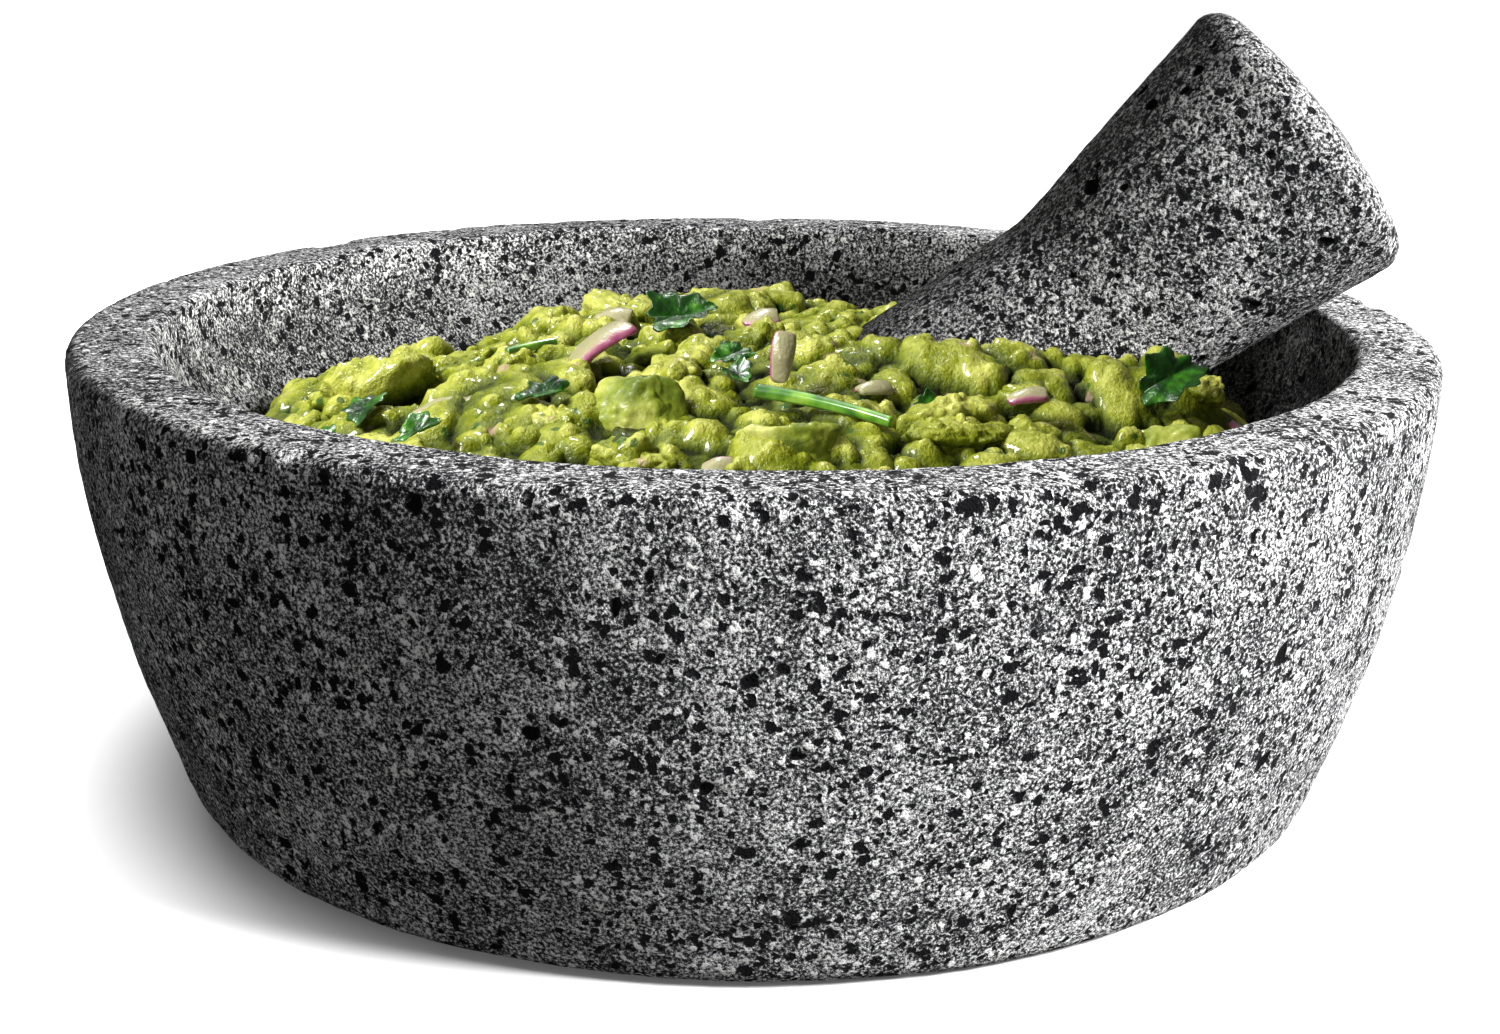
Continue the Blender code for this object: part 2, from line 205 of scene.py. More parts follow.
# One value that flows through a material's nodes. Sums on it add Math nodes.
class Flow:
    def __init__(self, tree, socket=None):
        self.tree = tree
        self.socket = socket

    # Adds a node: its settings go in first, then the values or links of its sockets.
    def node(self, kind, settings=None, inputs=None, output=0):
        made = self.tree.nodes.new(kind)
        for label, value in (settings or {}).items():
            if label == "stops":
                band = made.color_ramp
                while len(band.elements) < len(value):
                    band.elements.new(0.5)
                for element, (place, colour) in zip(band.elements, value):
                    element.position = place
                    element.color = (*colour, 1) if len(colour) == 3 else colour
            else:
                setattr(made, label, value)
        for label, value in (inputs or {}).items():
            if isinstance(value, Flow):
                self.tree.links.new(value.socket, made.inputs[label])
            else:
                made.inputs[label].default_value = value
        return Flow(self.tree, made.outputs[output])

    # One Math node on two values.
    def sum(self, operation, first, second=0.0):
        return self.node("ShaderNodeMath", {"operation": operation}, {0: first, 1: second})

    # Sums, differences and products with another flow or with a number.
    def __add__(self, other):
        return self.sum("ADD", self, other)

    def __sub__(self, other):
        return self.sum("SUBTRACT", self, other)

    def __rsub__(self, other):
        return self.sum("SUBTRACT", other, self)

    def __mul__(self, other):
        return self.sum("MULTIPLY", self, other)

    __radd__ = __add__
    __rmul__ = __mul__

    # A smooth step between two limits.
    def step(self, low, high):
        return self.node(
            "ShaderNodeMapRange", {"interpolation_type": "SMOOTHSTEP"},
            {"Value": self, "From Min": low, "From Max": high},
        )

    # The other colour wherever the factor is 1.
    def mixed(self, other, factor, blend="MIX"):
        return self.node(
            "ShaderNodeMix", {"data_type": "RGBA", "blend_type": blend, "clamp_result": True},
            {0: factor, 6: self, 7: other}, 2,
        )

    # Fractal noise from 0 to 1, with scale features to the millimetre.
    def noise(self, place, scale, detail=2.0, roughness=0.6, output=0):
        return self.node(
            "ShaderNodeTexNoise", None,
            {"Vector": place, "Scale": scale, "Detail": detail, "Roughness": roughness}, output,
        )

    # Distance to the nearest cell point, or with output 1 a colour for each cell.
    def voronoi(self, place, scale, output=0):
        return self.node("ShaderNodeTexVoronoi", None, {"Vector": place, "Scale": scale}, output)

    # A number stored in the mesh.
    def stored(self, label):
        return self.node("ShaderNodeAttribute", {"attribute_name": label}, output="Fac")

    # One channel of each cell's own colour: a random number for each cell.
    def cellPick(self, place, scale, channel=0):
        return self.node("ShaderNodeSeparateColor", None, {0: self.voronoi(place, scale, 1)}, channel)

    # A colour ramp through the given stops.
    def ramped(self, stops):
        return self.node("ShaderNodeValToRGB", {"stops": stops}, {"Fac": self})

    # A bump of so many millimetres to the unit.
    def bumped(self, strength):
        return self.node("ShaderNodeBump", None, {"Strength": strength, "Distance": mm, "Height": self})

    # Object coordinates in millimetres.
    def place(self):
        spot = self.node("ShaderNodeTexCoord", output="Object")
        return self.node(
            "ShaderNodeVectorMath", {"operation": "SCALE"}, {0: spot, "Scale": 1 / mm},
        )

    # Coordinates pushed about by a noise, so that cells lose their straight sides.
    def warped(self, place, scale, push):
        colour = self.noise(place, scale, 1.0, output=1)
        centred = self.node("ShaderNodeVectorMath", {"operation": "SUBTRACT"}, {0: colour, 1: (0.5,) * 3})
        pushed = self.node("ShaderNodeVectorMath", {"operation": "SCALE"}, {0: centred, "Scale": push})
        return self.node("ShaderNodeVectorMath", {"operation": "ADD"}, {0: place, 1: pushed})


# A new material with an empty tree, as a flow to build on, and its Principled shader.
def newFinish(name, constants):
    made = bpy.data.materials.new(name)
    made.use_nodes = True
    tree = made.node_tree
    shader = tree.nodes["Principled BSDF"]
    for label, value in constants.items():
        shader.inputs[label].default_value = value
    return made, Flow(tree), shader


# Links each named flow to the shader's socket of that name, with spaces for underscores.
def joinTo(shader, **links):
    for label, flow in links.items():
        flow.tree.links.new(flow.socket, shader.inputs[label.replace("_", " ")])


# Scales are in features to the millimetre, sizes are in cells, and shares are from 0 to 1.
basaltLook = {
    "bowl": {
        "grain": 2.0, "tone": 1.0, "crystal": 0.55,
        "spot": 0.60, "spots": 0.44, "hole": 0.34, "holes": 0.40,
    },
    "tejolote": {
        "grain": 1.8, "tone": 0.60, "crystal": 0.6,
        "spot": 0.62, "spots": 0.56, "hole": 0.38, "holes": 0.48,
    },
    "crystalSize": 0.36, "crystals": 0.36, "spotSize": 0.38, "holeSize": 0.36, "crowding": 2.1,
    # The colour that multiplies the inside of the bowl's hollow, at the end of the next line, is a painted
    # shade.
    "raised": 0.13, "sunk": 0.25, "patchy": 0.16, "relief": 2.2, "worn": (0.50, 0.50, 0.49, 1),
    # Below this level the tone is near black: the painted shade inside the pores.
    "black": (0.34, (0.002, 0.002, 0.003)),
    "tones": [
        (0.445, (0.025, 0.025, 0.027)), (0.485, (0.16, 0.16, 0.163)),
        (0.53, (0.50, 0.50, 0.50)), (0.61, (1.0, 1.0, 0.98)),
    ],
}


# Ragged round spots in some cells: 1 inside, where the nearest cell point is closer than the size
# allowed by the rough edge, and the cell's own number passes the share that is wanted there.
def spotField(flow, loose, scale, size, rough, share):
    inside = (size - flow.voronoi(loose, scale) + rough).step(0.0, 0.10)
    return inside * (flow.cellPick(loose, scale) + share).step(0.97, 1.03)


# Stone: one height from fine grain, patches, raised pale crystals, spots and pores, with the tone taken from
# that height, so that every crystal is pale and every sunken spot, hole and pore is painted black, a painted
# shade inside the pores.
def basalt(name, stone):
    look = basaltLook[stone]
    shared = basaltLook
    made, flow, shader = newFinish(name, {"Specular IOR Level": 0.12})
    place = flow.place()
    loose = flow.warped(flow.warped(place, 0.30, 2.2), 1.1, 0.8)
    grain = flow.noise(place, look["grain"], 3.0, 0.72)
    rough = (flow.noise(place, 1.1, 2.0, 0.6) - 0.5) * 0.55
    patch = flow.noise(place, 0.075, 3.0, 0.55) - 0.5
    crowd = (flow.noise(place, 0.14, 2.0, 0.55) - 0.5) * shared["crowding"]
    crystal = spotField(flow, loose, look["crystal"], shared["crystalSize"], rough, shared["crystals"])
    spot = spotField(flow, loose, look["spot"], shared["spotSize"], rough, crowd + look["spots"])
    hole = spotField(flow, loose, look["hole"], shared["holeSize"], rough, crowd + look["holes"])
    deep = (flow.stored("pore") + rough + (grain - 0.5) * 0.6).step(0.32, 0.5)
    # Spots, holes and the mesh's deep pores sink the height: the bump dents them, and the tone paints them
    # black as painted shade.
    dark = flow.sum("MAXIMUM", flow.sum("MAXIMUM", spot * 0.8, hole), deep)
    level = grain * 0.85 + patch * shared["patchy"] + crystal * shared["raised"]
    level = level - dark * shared["sunk"] + 0.055
    tones = [(stop, tuple(look["tone"] * v for v in colour)) for stop, colour in shared["tones"]]
    colour = level.ramped([shared["black"]] + tones)
    # The inside of the bowl's hollow is multiplied darker by a stored mask: painted shade.
    colour = colour.mixed(shared["worn"], flow.stored("worn"), "MULTIPLY")
    bump = (level * shared["relief"]).bumped(1.0)
    joinTo(shader, Base_Color=colour, Roughness=0.95 - crystal * 0.35, Normal=bump)
    return made


bowlLook = {
    "rimWidth": 13.4, "rimRound": 2.0, "innerChamfer": 0.7, "taper": 16.1, "taperPower": 1.87,
    "footRound": 3.0, "footRadius": 87.0, "floor": 18.8, "segments": 640,
    "poreShare": 0.34, "poreSmall": 0.6, "poreLarge": 1.5, "wave": 0.35, "proud": 0.5,
    "chipLevel": 0.35, "chipDepth": 2.2,
}


# The bowl's profile from under the foot, up the side, over the rim and down into the hollow.
def bowlProfile(look, rim, height):
    side = lambda z: rim - look["taper"] * ((height - z) / height) ** look["taperPower"]
    hollow = rim - look["rimWidth"]
    depth = height - look["floor"]
    foot = np.linspace(6, look["footRadius"], 9)
    t = np.linspace(0, 1, 7)[1:]
    start, corner, end = look["footRadius"], side(0), side(look["footRound"])
    footR = (1 - t) ** 2 * start + 2 * t * (1 - t) * corner + t * t * end
    footZ = t * t * look["footRound"]
    sideZ = np.linspace(look["footRound"], height - look["rimRound"], 76)[1:]
    a = np.linspace(0, np.pi / 2, 6)[1:]
    rimR = rim - look["rimRound"] * (1 - np.cos(a))
    rimZ = height - look["rimRound"] * (1 - np.sin(a))
    flat = np.linspace(rim - look["rimRound"], hollow + look["innerChamfer"], 14)[1:]
    b = np.concatenate([np.linspace(0.013, 0.62, 32), np.linspace(0.68, 1.5, 10)])
    r = np.concatenate([foot, footR, side(sideZ), rimR, flat, hollow * np.cos(b)])
    z = np.concatenate([
        0 * foot, footZ, sideZ, rimZ, 0 * flat + height, height - depth * np.sin(b),
    ])
    return r, z


# Rings of a turned profile and the outward direction at each point.
def turnedRings(r, z, segments):
    turn = np.linspace(0, 2 * np.pi, segments, endpoint=False)
    along = np.gradient(np.stack([r, z], -1), axis=0)
    along /= np.linalg.norm(along, axis=1, keepdims=True)
    outR, outZ = along[:, 1], -along[:, 0]
    rings = np.stack([r[:, None] * np.cos(turn), r[:, None] * np.sin(turn), z[:, None] + 0 * turn], -1)
    out = np.stack([outR[:, None] * np.cos(turn), outR[:, None] * np.sin(turn), outZ[:, None] + 0 * turn], -1)
    return rings, out


# All in millimetres, but for the shares of cells that hold a pore.
carveLook = {
    "bend": 0.9, "bendSize": 2.6, "bigCell": 8.0, "smallCell": 3.6, "smallest": 0.5, "smallLargest": 1.15,
    "share": 0.28, "crowding": 0.25, "crowdSize": 26, "waveSize": 17, "depth": 0.75,
    "grains": ((0.16, 1.5, 9), (0.1, 3.1, 15)),   # height, size and seed
}


# How far the stone is cut in at each point, and how deep in a pore it lies: a slow wave, fine
# grains and the deeper of a large and a small pore, both at a place bent by noise.
def carve(points, look):
    more = carveLook
    bend = np.stack([cloud(points, more["bendSize"], 40 + k) for k in range(3)], -1)
    bent = points + more["bend"] * bend
    crowd = more["crowding"] * cloud(points, more["crowdSize"], 61)
    big = pits(bent, more["bigCell"], look["poreSmall"], look["poreLarge"], look["poreShare"], 11)
    share = np.clip(more["share"] + crowd, 0.05, 0.6)
    small = pits(bent, more["smallCell"], more["smallest"], more["smallLargest"], share, 23)
    pore = np.maximum(big, small)
    wave = look["wave"] * (1 + clouds(points, more["waveSize"], 5)) / 2
    rough = sum(high * (1 + cloud(points, size, seed)) / 2 for high, size, seed in more["grains"])
    return wave + rough + pore * more["depth"], np.clip(pore / 0.9, 0, 1)


# The bowl: its turned profile cut in by the carving, with chips off the rim's outer edge where a
# noise is high, and a foot and a floor closed by poles.
def makeBowl(look):
    low, high = np.array(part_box("bowl")) / mm
    rim, height = (high[0] - low[0]) / 2, high[2]
    r, z = bowlProfile(look, rim, height)
    rings, out = turnedRings(r, z, look["segments"])
    cut, pore = carve(rings, look)
    flatFoot = ramp(rings[..., 2], 0.0, 1.5)
    away = np.hypot(rings[..., 0], rings[..., 1])
    edge = np.exp(-((rings[..., 2] - height) / 2.2) ** 2) * np.exp(-((away - rim) / 2.5) ** 2)
    chips = edge * np.maximum(0, clouds(rings, 7, 77) - look["chipLevel"]) * look["chipDepth"]
    hollow = rim - look["rimWidth"]
    outside = 1 - ramp(hollow + 2 - away, 0, 1.5) * (rings[..., 2] > 10)
    shape = rings - out * ((cut - look["proud"] * outside) * flatFoot + chips)[..., None]
    floor = look["floor"] - 0.3
    points, faces = closedRings(shape, (0, 0, 0), (0, 0, floor))
    pores = np.concatenate([(pore * flatFoot).ravel(), [0, 0]])
    # A mask of the inside of the hollow, below the rim, for the painted shade that darkens the stone there.
    inner = ramp(hollow - np.hypot(points[:, 0], points[:, 1]), -0.5, 1.0) * ramp(points[:, 2], 15, 17)
    finish = basalt("bowlBasalt", "bowl")
    numbers = {"pore": pores, "worn": inner}
    putMesh("bowlStone", points, faces, finish, "bowl", ["bowl"], numbers)
    print("bowl", len(points), "points")


tejoloteLook = {
    "upper": 26.2, "lower": 23.8, "waist": 19.5, "waistAt": 46.0, "dome": 2.5, "endRound": 4.0,
    "segments": 320, "poreShare": 0.42, "poreSmall": 0.7, "poreLarge": 1.7, "wave": 0.3, "proud": 0.6,
    "slant": 1.3, "reach": 0.6, "upperEnd": 24, "proudFrom": 45, "proudTo": 65, "noiseShift": 300,
}


# Radius along the tejolote: a power of the way from the waist up, and of a sine of the way down.
def tejoloteRadius(s, length, look):
    up = np.clip((s - look["waistAt"]) / (length - look["waistAt"]), 0, 1)
    down = np.clip((look["waistAt"] - s) / look["waistAt"], 0, 1)
    swellUp = (look["upper"] - look["waist"]) * up ** 1.2
    swellDown = (look["lower"] - look["waist"]) * np.sin(np.pi / 2 * down) ** 1.3
    return look["waist"] + swellUp + swellDown


# The tejolote's foot, its direction and its length, from its CAD node and its joint.
def tejoloteLine():
    joint = next(j for j in frame["joints"] if j["name"] == "lift_out")
    axis = np.array(joint["axis"]) / np.linalg.norm(joint["axis"])
    points = np.unique(nodePoints("tejolote").round(4), axis=0)
    along = points @ axis
    ring = points - along[:, None] * axis
    middle = (ring.min(0) + ring.max(0)) / 2
    middle -= (middle @ axis) * axis
    dome = tejoloteLook["dome"]
    start, end = along.min() + dome, along.max() - dome
    return middle + start * axis, axis, end - start


# The tejolote: a waisted profile with rounded, domed ends, turned and carved as the bowl is, then
# laid along its own line, with its upper end slanted a little.
def makeTejolote(look):
    foot, axis, length = tejoloteLine()
    k = look["endRound"]
    a = np.linspace(0, np.pi / 2, 7)
    lowR, highR = tejoloteRadius(k, length, look), tejoloteRadius(length - k, length, look)
    capIn = np.linspace(1.0, lowR - k, 24)
    capOut = np.linspace(highR - k, 1.0, 30)
    side = np.linspace(k, length - k, 168)[1:-1]
    r = np.concatenate([capIn, lowR - k + k * np.sin(a)[1:], tejoloteRadius(side, length, look),
                        highR - k + k * np.cos(a)[:-1], capOut])
    s = np.concatenate([
        -look["dome"] * (1 - (capIn / (lowR - k)) ** 2), k - k * np.cos(a)[1:], side,
        length - k + k * np.sin(a)[:-1], length + look["dome"] * (1 - (capOut / (highR - k)) ** 2),
    ])
    rings, out = turnedRings(r, s, look["segments"])
    cut, pore = carve(rings + look["noiseShift"], look)
    proud = look["proud"] * ramp(s, look["proudFrom"], look["proudTo"])[:, None]
    shape = rings - out * (cut - proud)[..., None]
    upper = ramp(s, length - look["upperEnd"], length)[:, None]
    shape[..., 2] += upper * (look["reach"] - look["slant"] * shape[..., 0] / look["upper"])
    points, faces = closedRings(shape, shape[0].mean(0), shape[-1].mean(0))
    points = placed(points, foot, axis)
    pores = np.concatenate([pore.ravel(), [0, 0]])
    finish = basalt("tejoloteBasalt", "tejolote")
    numbers = {"pore": pores}
    putMesh("tejoloteStone", points, faces, finish, "tejolote", ["tejolote"], numbers)
    print("tejolote", len(points), "points")


# Local points with their Z laid along an axis, their Y kept level, and moved to a foot.
def placed(points, foot, axis):
    level = np.cross(axis, (0, 0, 1.0))
    level /= -np.linalg.norm(level)
    third = np.cross(level, axis)
    return foot + points @ np.stack([third, level, axis])


heapLook = {
    "edge": 51.6, "crown": 18.0, "radius": 86.0, "shoulder": 0.6, "cells": 300,
    "dip": 7.0, "dipWidth": 20.0, "dipAt": (-60, 43), "crest": 4.0, "crestAt": (64, -12), "crestWidth": 9.0,
    "domes": 1900, "domeSmall": 1.2, "domeLarge": 5.4, "blend": 0.45, "bulge": 0.35, "seed": 7,
    "hills": 2.3, "hillSize": 13, "stacked": 0.8, "stand": 0.9, "fall": 3, "stretch": 0.7,
    "riseLeast": 0.65, "riseMore": 0.45, "sunk": 0.35, "edgeWidth": 4, "edgeDrop": 2, "steepest": 1.3,
    "clearance": 0.7, "softenings": 60, "reliefLevel": 0.55, "reliefRange": 2.6, "underGap": 0.8,
    "beads": ((0.8, 2.6, 0.6, 1.45, 0.6, 31), (0.6, 4.6, 1.0, 2.1, 0.5, 36)),   # height, then as in pits
}


# The plain heap: a domed mound, less a dip behind on the left, and the ridge that the tejolote
# pushes up before it.
def moundHeight(x, y, look):
    radius = np.minimum(1, np.hypot(x, y) / look["radius"])
    mound = look["edge"] + look["crown"] * (1 - radius * radius) ** look["shoulder"]
    along = ramp(x, 6, 24) * (1 - ramp(x, 70, 79))
    crestX, crestY = look["crestAt"]
    crest = look["crest"] * (1 + np.exp(-((x - crestX) / 10) ** 2))
    dipX, dipY = look["dipAt"]
    dip = look["dip"] * np.exp(-((x - dipX) ** 2 + (y - dipY) ** 2) / look["dipWidth"] ** 2)
    return mound + along * crest * np.exp(-((y - crestY) / look["crestWidth"]) ** 2) - dip


# The disc's points from a square grid, by the map that keeps its cells nearly even.
def discGrid(cells, radius):
    line = np.linspace(-1, 1, cells)
    u, v = np.meshgrid(line, line)
    return radius * u * np.sqrt(1 - v * v / 2), radius * v * np.sqrt(1 - u * u / 2)


# Domes heaped on each other: from large to small, each cap stands on the height found under its
# middle and joins it by a soft maximum, so that small beads sit on the larger lumps.
def domeHeight(x, y, base, look):
    rng = np.random.default_rng(look["seed"])
    flat = np.stack([x, y, 0 * x], -1)
    height = base + look["hills"] * clouds(flat, look["hillSize"], 52, 2)
    for index in range(look["domes"]):
        late = index / look["domes"]
        size = look["domeSmall"] + (look["domeLarge"] - look["domeSmall"]) * (1 - late) ** look["fall"]
        reach, turn, spin = (look["radius"] - size) * np.sqrt(rng.random()), *(rng.random(2) * 2 * np.pi)
        dx, dy = x - reach * np.cos(turn), y - reach * np.sin(turn)
        away = np.hypot(dx, dy)
        middle = np.unravel_index(np.argmin(away), away.shape)
        near = away < size * 1.7
        along = (dx[near] * np.cos(spin) + dy[near] * np.sin(spin)) / (1 + look["stretch"] * rng.random())
        across = -dx[near] * np.sin(spin) + dy[near] * np.cos(spin)
        cap = np.maximum(0, 1 - (along ** 2 + across ** 2) / size ** 2) ** 0.5
        rise = size * (look["riseLeast"] + look["riseMore"] * rng.random())
        under = look["stacked"] * (height[middle] - base[middle])
        top = base[near] + under + rise * (cap - look["sunk"])
        old = height[near]
        blend = look["blend"] * min(1, size / 3)
        overlap = np.maximum(0, blend - np.abs(top - old)) ** 2 / (4 * blend)
        height[near] = np.where(cap > 0, np.maximum(top, old) + overlap * ramp(cap, 0, 0.4), old)
    return height - np.percentile(height - base, 92) + look["stand"]


# How far each height stands over the mean of its neighbours, by averaging with them many times.
def standingOut(height, times):
    soft = height.copy()
    for again in range(times):
        soft[1:-1, 1:-1] = (soft[:-2, 1:-1] + soft[2:, 1:-1] + soft[1:-1, :-2] + soft[1:-1, 2:]) / 4
    return height - soft


# How far inside the tejolote points lie, in millimetres, negative outside.
def insideTejolote(points):
    foot, axis, length = tejoloteLine()
    away = points - foot
    s = away @ axis
    radial = np.linalg.norm(away - s[..., None] * axis, axis=-1)
    inside = tejoloteRadius(np.clip(s, 0, length), length, tejoloteLook) - radial
    return np.where((s > -2) & (s < length), inside, -99.0)


# The paste: a sheet over the disc at the domes' height, with beads and fine noise, pushed out
# sideways on its slopes, and let down in steps wherever it would lie inside the tejolote.
def makePaste(look, finish):
    x, y = discGrid(look["cells"], look["radius"])
    base = moundHeight(x, y, look)
    flat = np.stack([x, y, 0 * x], -1)
    bent = flat + 0.7 * cloud(flat, 3, 3)[..., None]
    beads = sum(high * pits(bent, *kind) for high, *kind in look["beads"])
    rough = beads + 0.25 * clouds(flat, 4, 44) + 0.12 * cloud(flat, 1.3, 48)
    edge = ramp(look["radius"] - np.hypot(x, y), 0, look["edgeWidth"])
    domes = domeHeight(x, y, base, look)
    height = base - look["edgeDrop"] + (domes - base + look["edgeDrop"] + rough) * edge
    spacing = 2 * look["radius"] / look["cells"]
    slopeY, slopeX = np.gradient(height, spacing)
    steep = np.maximum(1, np.hypot(slopeX, slopeY) / look["steepest"])
    px = x - look["bulge"] * slopeX / steep * edge
    py = y - look["bulge"] * slopeY / steep * edge
    points = np.stack([px, py, height], -1)
    for drop in [1.0] * 45 + [0.25] * 4:
        points[..., 2] -= drop * (insideTejolote(points) > look["clearance"])
    # How far each point stands over its neighbours, stored as relief, which the finish turns into painted
    # shade in creases and painted light on tops.
    relief = look["reliefLevel"] + standingOut(height, look["softenings"]) / look["reliefRange"]
    relief = np.clip(relief, 0, 1)
    relief = np.where(points[..., 2] < height - 1, 0.5, relief)
    closePaste(points, relief, look, finish)


# Closes the heap below its edge: rings that follow the hollow down to a pole.
def closePaste(points, relief, look, finish):
    cells = look["cells"]
    border = np.concatenate([
        np.arange(cells), np.arange(1, cells) * cells + cells - 1,
        (cells - 1) * cells + np.arange(cells - 1)[::-1], np.arange(1, cells - 1)[::-1] * cells,
    ])
    top = points.reshape(-1, 3)
    rim = top[border]
    rimAt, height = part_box("bowl")[1][0] / mm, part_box("bowl")[1][2] / mm
    under = []
    for share in (0.93, 0.75, 0.4):
        ring = rim * share
        hollow = np.hypot(ring[:, 0], ring[:, 1]) / (rimAt - bowlLook["rimWidth"])
        ring[:, 2] = height - (height - bowlLook["floor"]) * np.sqrt(1 - hollow ** 2) + look["underGap"]
        under.append(ring)
    count = len(border)
    allPoints = np.concatenate([top, *under, [[0, 0, bowlLook["floor"] + look["underGap"]]]])
    faces = gridQuads(cells, cells, closed=False).tolist()
    rings = [border] + [len(top) + k * count + np.arange(count) for k in range(3)]
    for upper, lower in zip(rings, rings[1:]):
        faces += np.stack([upper, lower, np.roll(lower, -1), np.roll(upper, -1)], -1).tolist()
    pole = len(allPoints) - 1
    faces += np.stack([rings[-1], np.full(count, pole), np.roll(rings[-1], -1)], -1).tolist()
    # The rings under the edge get no relief, so the finish paints them in its darkest painted crease shade.
    reliefs = np.concatenate([relief.ravel(), np.zeros(len(allPoints) - len(top))])
    putMesh("guacamolePaste", allPoints, faces, finish, "filling", ["guacamole"], {
        "relief": reliefs, "tint": 0 * reliefs + 0.4})
    print("guacamole paste", len(allPoints), "points")


lumpLook = {
    "count": 64, "seed": 21, "small": 6.5, "large": 15.5, "close": 0.62, "reach": 80.0,
    "detail": 0.64, "bead": 0.7, "tilt": 0.4, "level": 0.7, "uneven": 0.3, "tries": 9000,
    "edge": 85.5, "planes": 7, "softness": 4.6, "wave": 0.15, "unevenMost": 2.4, "fall": 2.2,
    "reliefFrom": 3.0, "reliefRange": 4.4,
}


# A chunk on a ball's grid: in each direction it reaches the soft minimum of its distances to a few
# random cutting planes, waved by noise and raised by round beads.
def chunkShape(size, seed, detail, bead, planes, softness, wave):
    rng = np.random.default_rng(seed)
    columns = int(np.clip(np.pi * max(size) / detail, 14, 110))
    v = np.linspace(0, np.pi, columns // 2 + 2)[1:-1, None]
    u = np.linspace(0, 2 * np.pi, columns, endpoint=False)[None, :]
    way = np.stack([np.sin(v) * np.cos(u), np.sin(v) * np.sin(u), -np.cos(v) + 0 * u], -1)
    normals = rng.normal(size=(planes, 3))
    normals /= np.linalg.norm(normals, axis=1, keepdims=True)
    distances = 0.74 + 0.26 * rng.random(planes)
    lean = (np.maximum(0, way @ normals.T) / distances) ** softness
    reach = (lean.sum(-1) + (np.abs(way) ** softness).sum(-1)) ** (-1 / softness)
    rings = way * (reach * (1 + wave * clouds(way * 10 + seed * 17, 8, seed)))[..., None] * np.array(size) / 2
    spot = rings + 31.0 * (seed % 97)
    spot = spot + 0.4 * cloud(spot, 2, 5)[..., None]
    raised = pits(spot, 2.3, 0.6, 1.35, 0.8, 3) + 0.35 * cloud(spot, 0.9, 8)
    rings = rings + way * bead * raised[..., None]
    return closedRings(rings, rings[0].mean(0), rings[-1].mean(0))


# Axes for a lump: tipped a little off the upright, then spun about its own height.
def tippedAxes(rng, tilt):
    up = np.array([*(rng.normal(size=2) * tilt), 1.0])
    up /= np.linalg.norm(up)
    spin = np.pi / 2 + 0.25 + rng.normal() * 0.6
    first = np.cross([np.cos(spin), np.sin(spin), 0.0], up)
    first /= np.linalg.norm(first)
    return np.stack([first, np.cross(up, first), up])


# Axes turned about an axis of the room by some degrees.
def turnedAxes(axes, degrees, about):
    return axes @ np.array(Matrix.Rotation(np.radians(degrees), 3, about)).T


# Lumps heaped on the paste: each stands with its top near the mound's height, largest first, and a
# new one is kept only where it isn't too close to the others, to the stone or to the tejolote.
def makeLumps(look, finish):
    rng = np.random.default_rng(look["seed"])
    kept, shapes, tints = [], [], []
    for attempt in range(look["tries"]):
        share = len(kept) / look["count"]
        if share >= 1:
            break
        size = look["small"] + (look["large"] - look["small"]) * (1 - share) ** look["fall"]
        reach, turn = look["reach"] * np.sqrt(rng.random()), rng.random() * 2 * np.pi
        x, y = reach * np.cos(turn), reach * np.sin(turn)
        stretch = 1.05 + 0.8 * rng.random()
        shape = np.array([size * stretch, size * 0.9, size * (0.75 + 0.4 * rng.random())])
        most = look["unevenMost"]
        uneven = np.clip((rng.random() - 0.5) * look["uneven"] * size, -most, most)
        top = moundHeight(x, y, heapLook) + look["level"] + uneven * ramp(85 - reach, 0, 14)
        centre = np.array([x, y, top - shape[2] / 2])
        if reach + size * 0.45 * stretch > look["edge"]:
            continue
        if insideTejolote(centre[None])[0] > -(size * 0.5 * stretch + 0.5):
            continue
        if any(np.hypot(x - k[0], y - k[1]) < look["close"] * (size + k[2]) / 2 * 1.25 for k in kept):
            continue
        kept.append((x, y, size))
        points, faces = chunkShape(
            shape, attempt, look["detail"], look["bead"], look["planes"], look["softness"], look["wave"])
        shapes.append((centre + points @ tippedAxes(rng, look["tilt"]), faces))
        tints.append(np.full(len(points), rng.random()))
    quarter = len(shapes) // 4
    for number, group in enumerate((slice(0, quarter), slice(quarter, None))):
        points, faces = gather(shapes[group])
        # Height over the mound, stored as relief: the finish paints the low parts dark as painted shade and
        # the high parts light as painted light.
        rise = points[:, 2] - moundHeight(points[:, 0], points[:, 1], heapLook)
        relief = np.clip((rise + look["reliefFrom"]) / look["reliefRange"], 0, 1)
        numbers = {"relief": relief, "tint": np.concatenate(tints[group])}
        name = f"guacamoleLumps{number + 1}"
        putMesh(name, points, faces, finish, "filling", (), numbers)
        print("lumps", number + 1, len(faces), "faces")
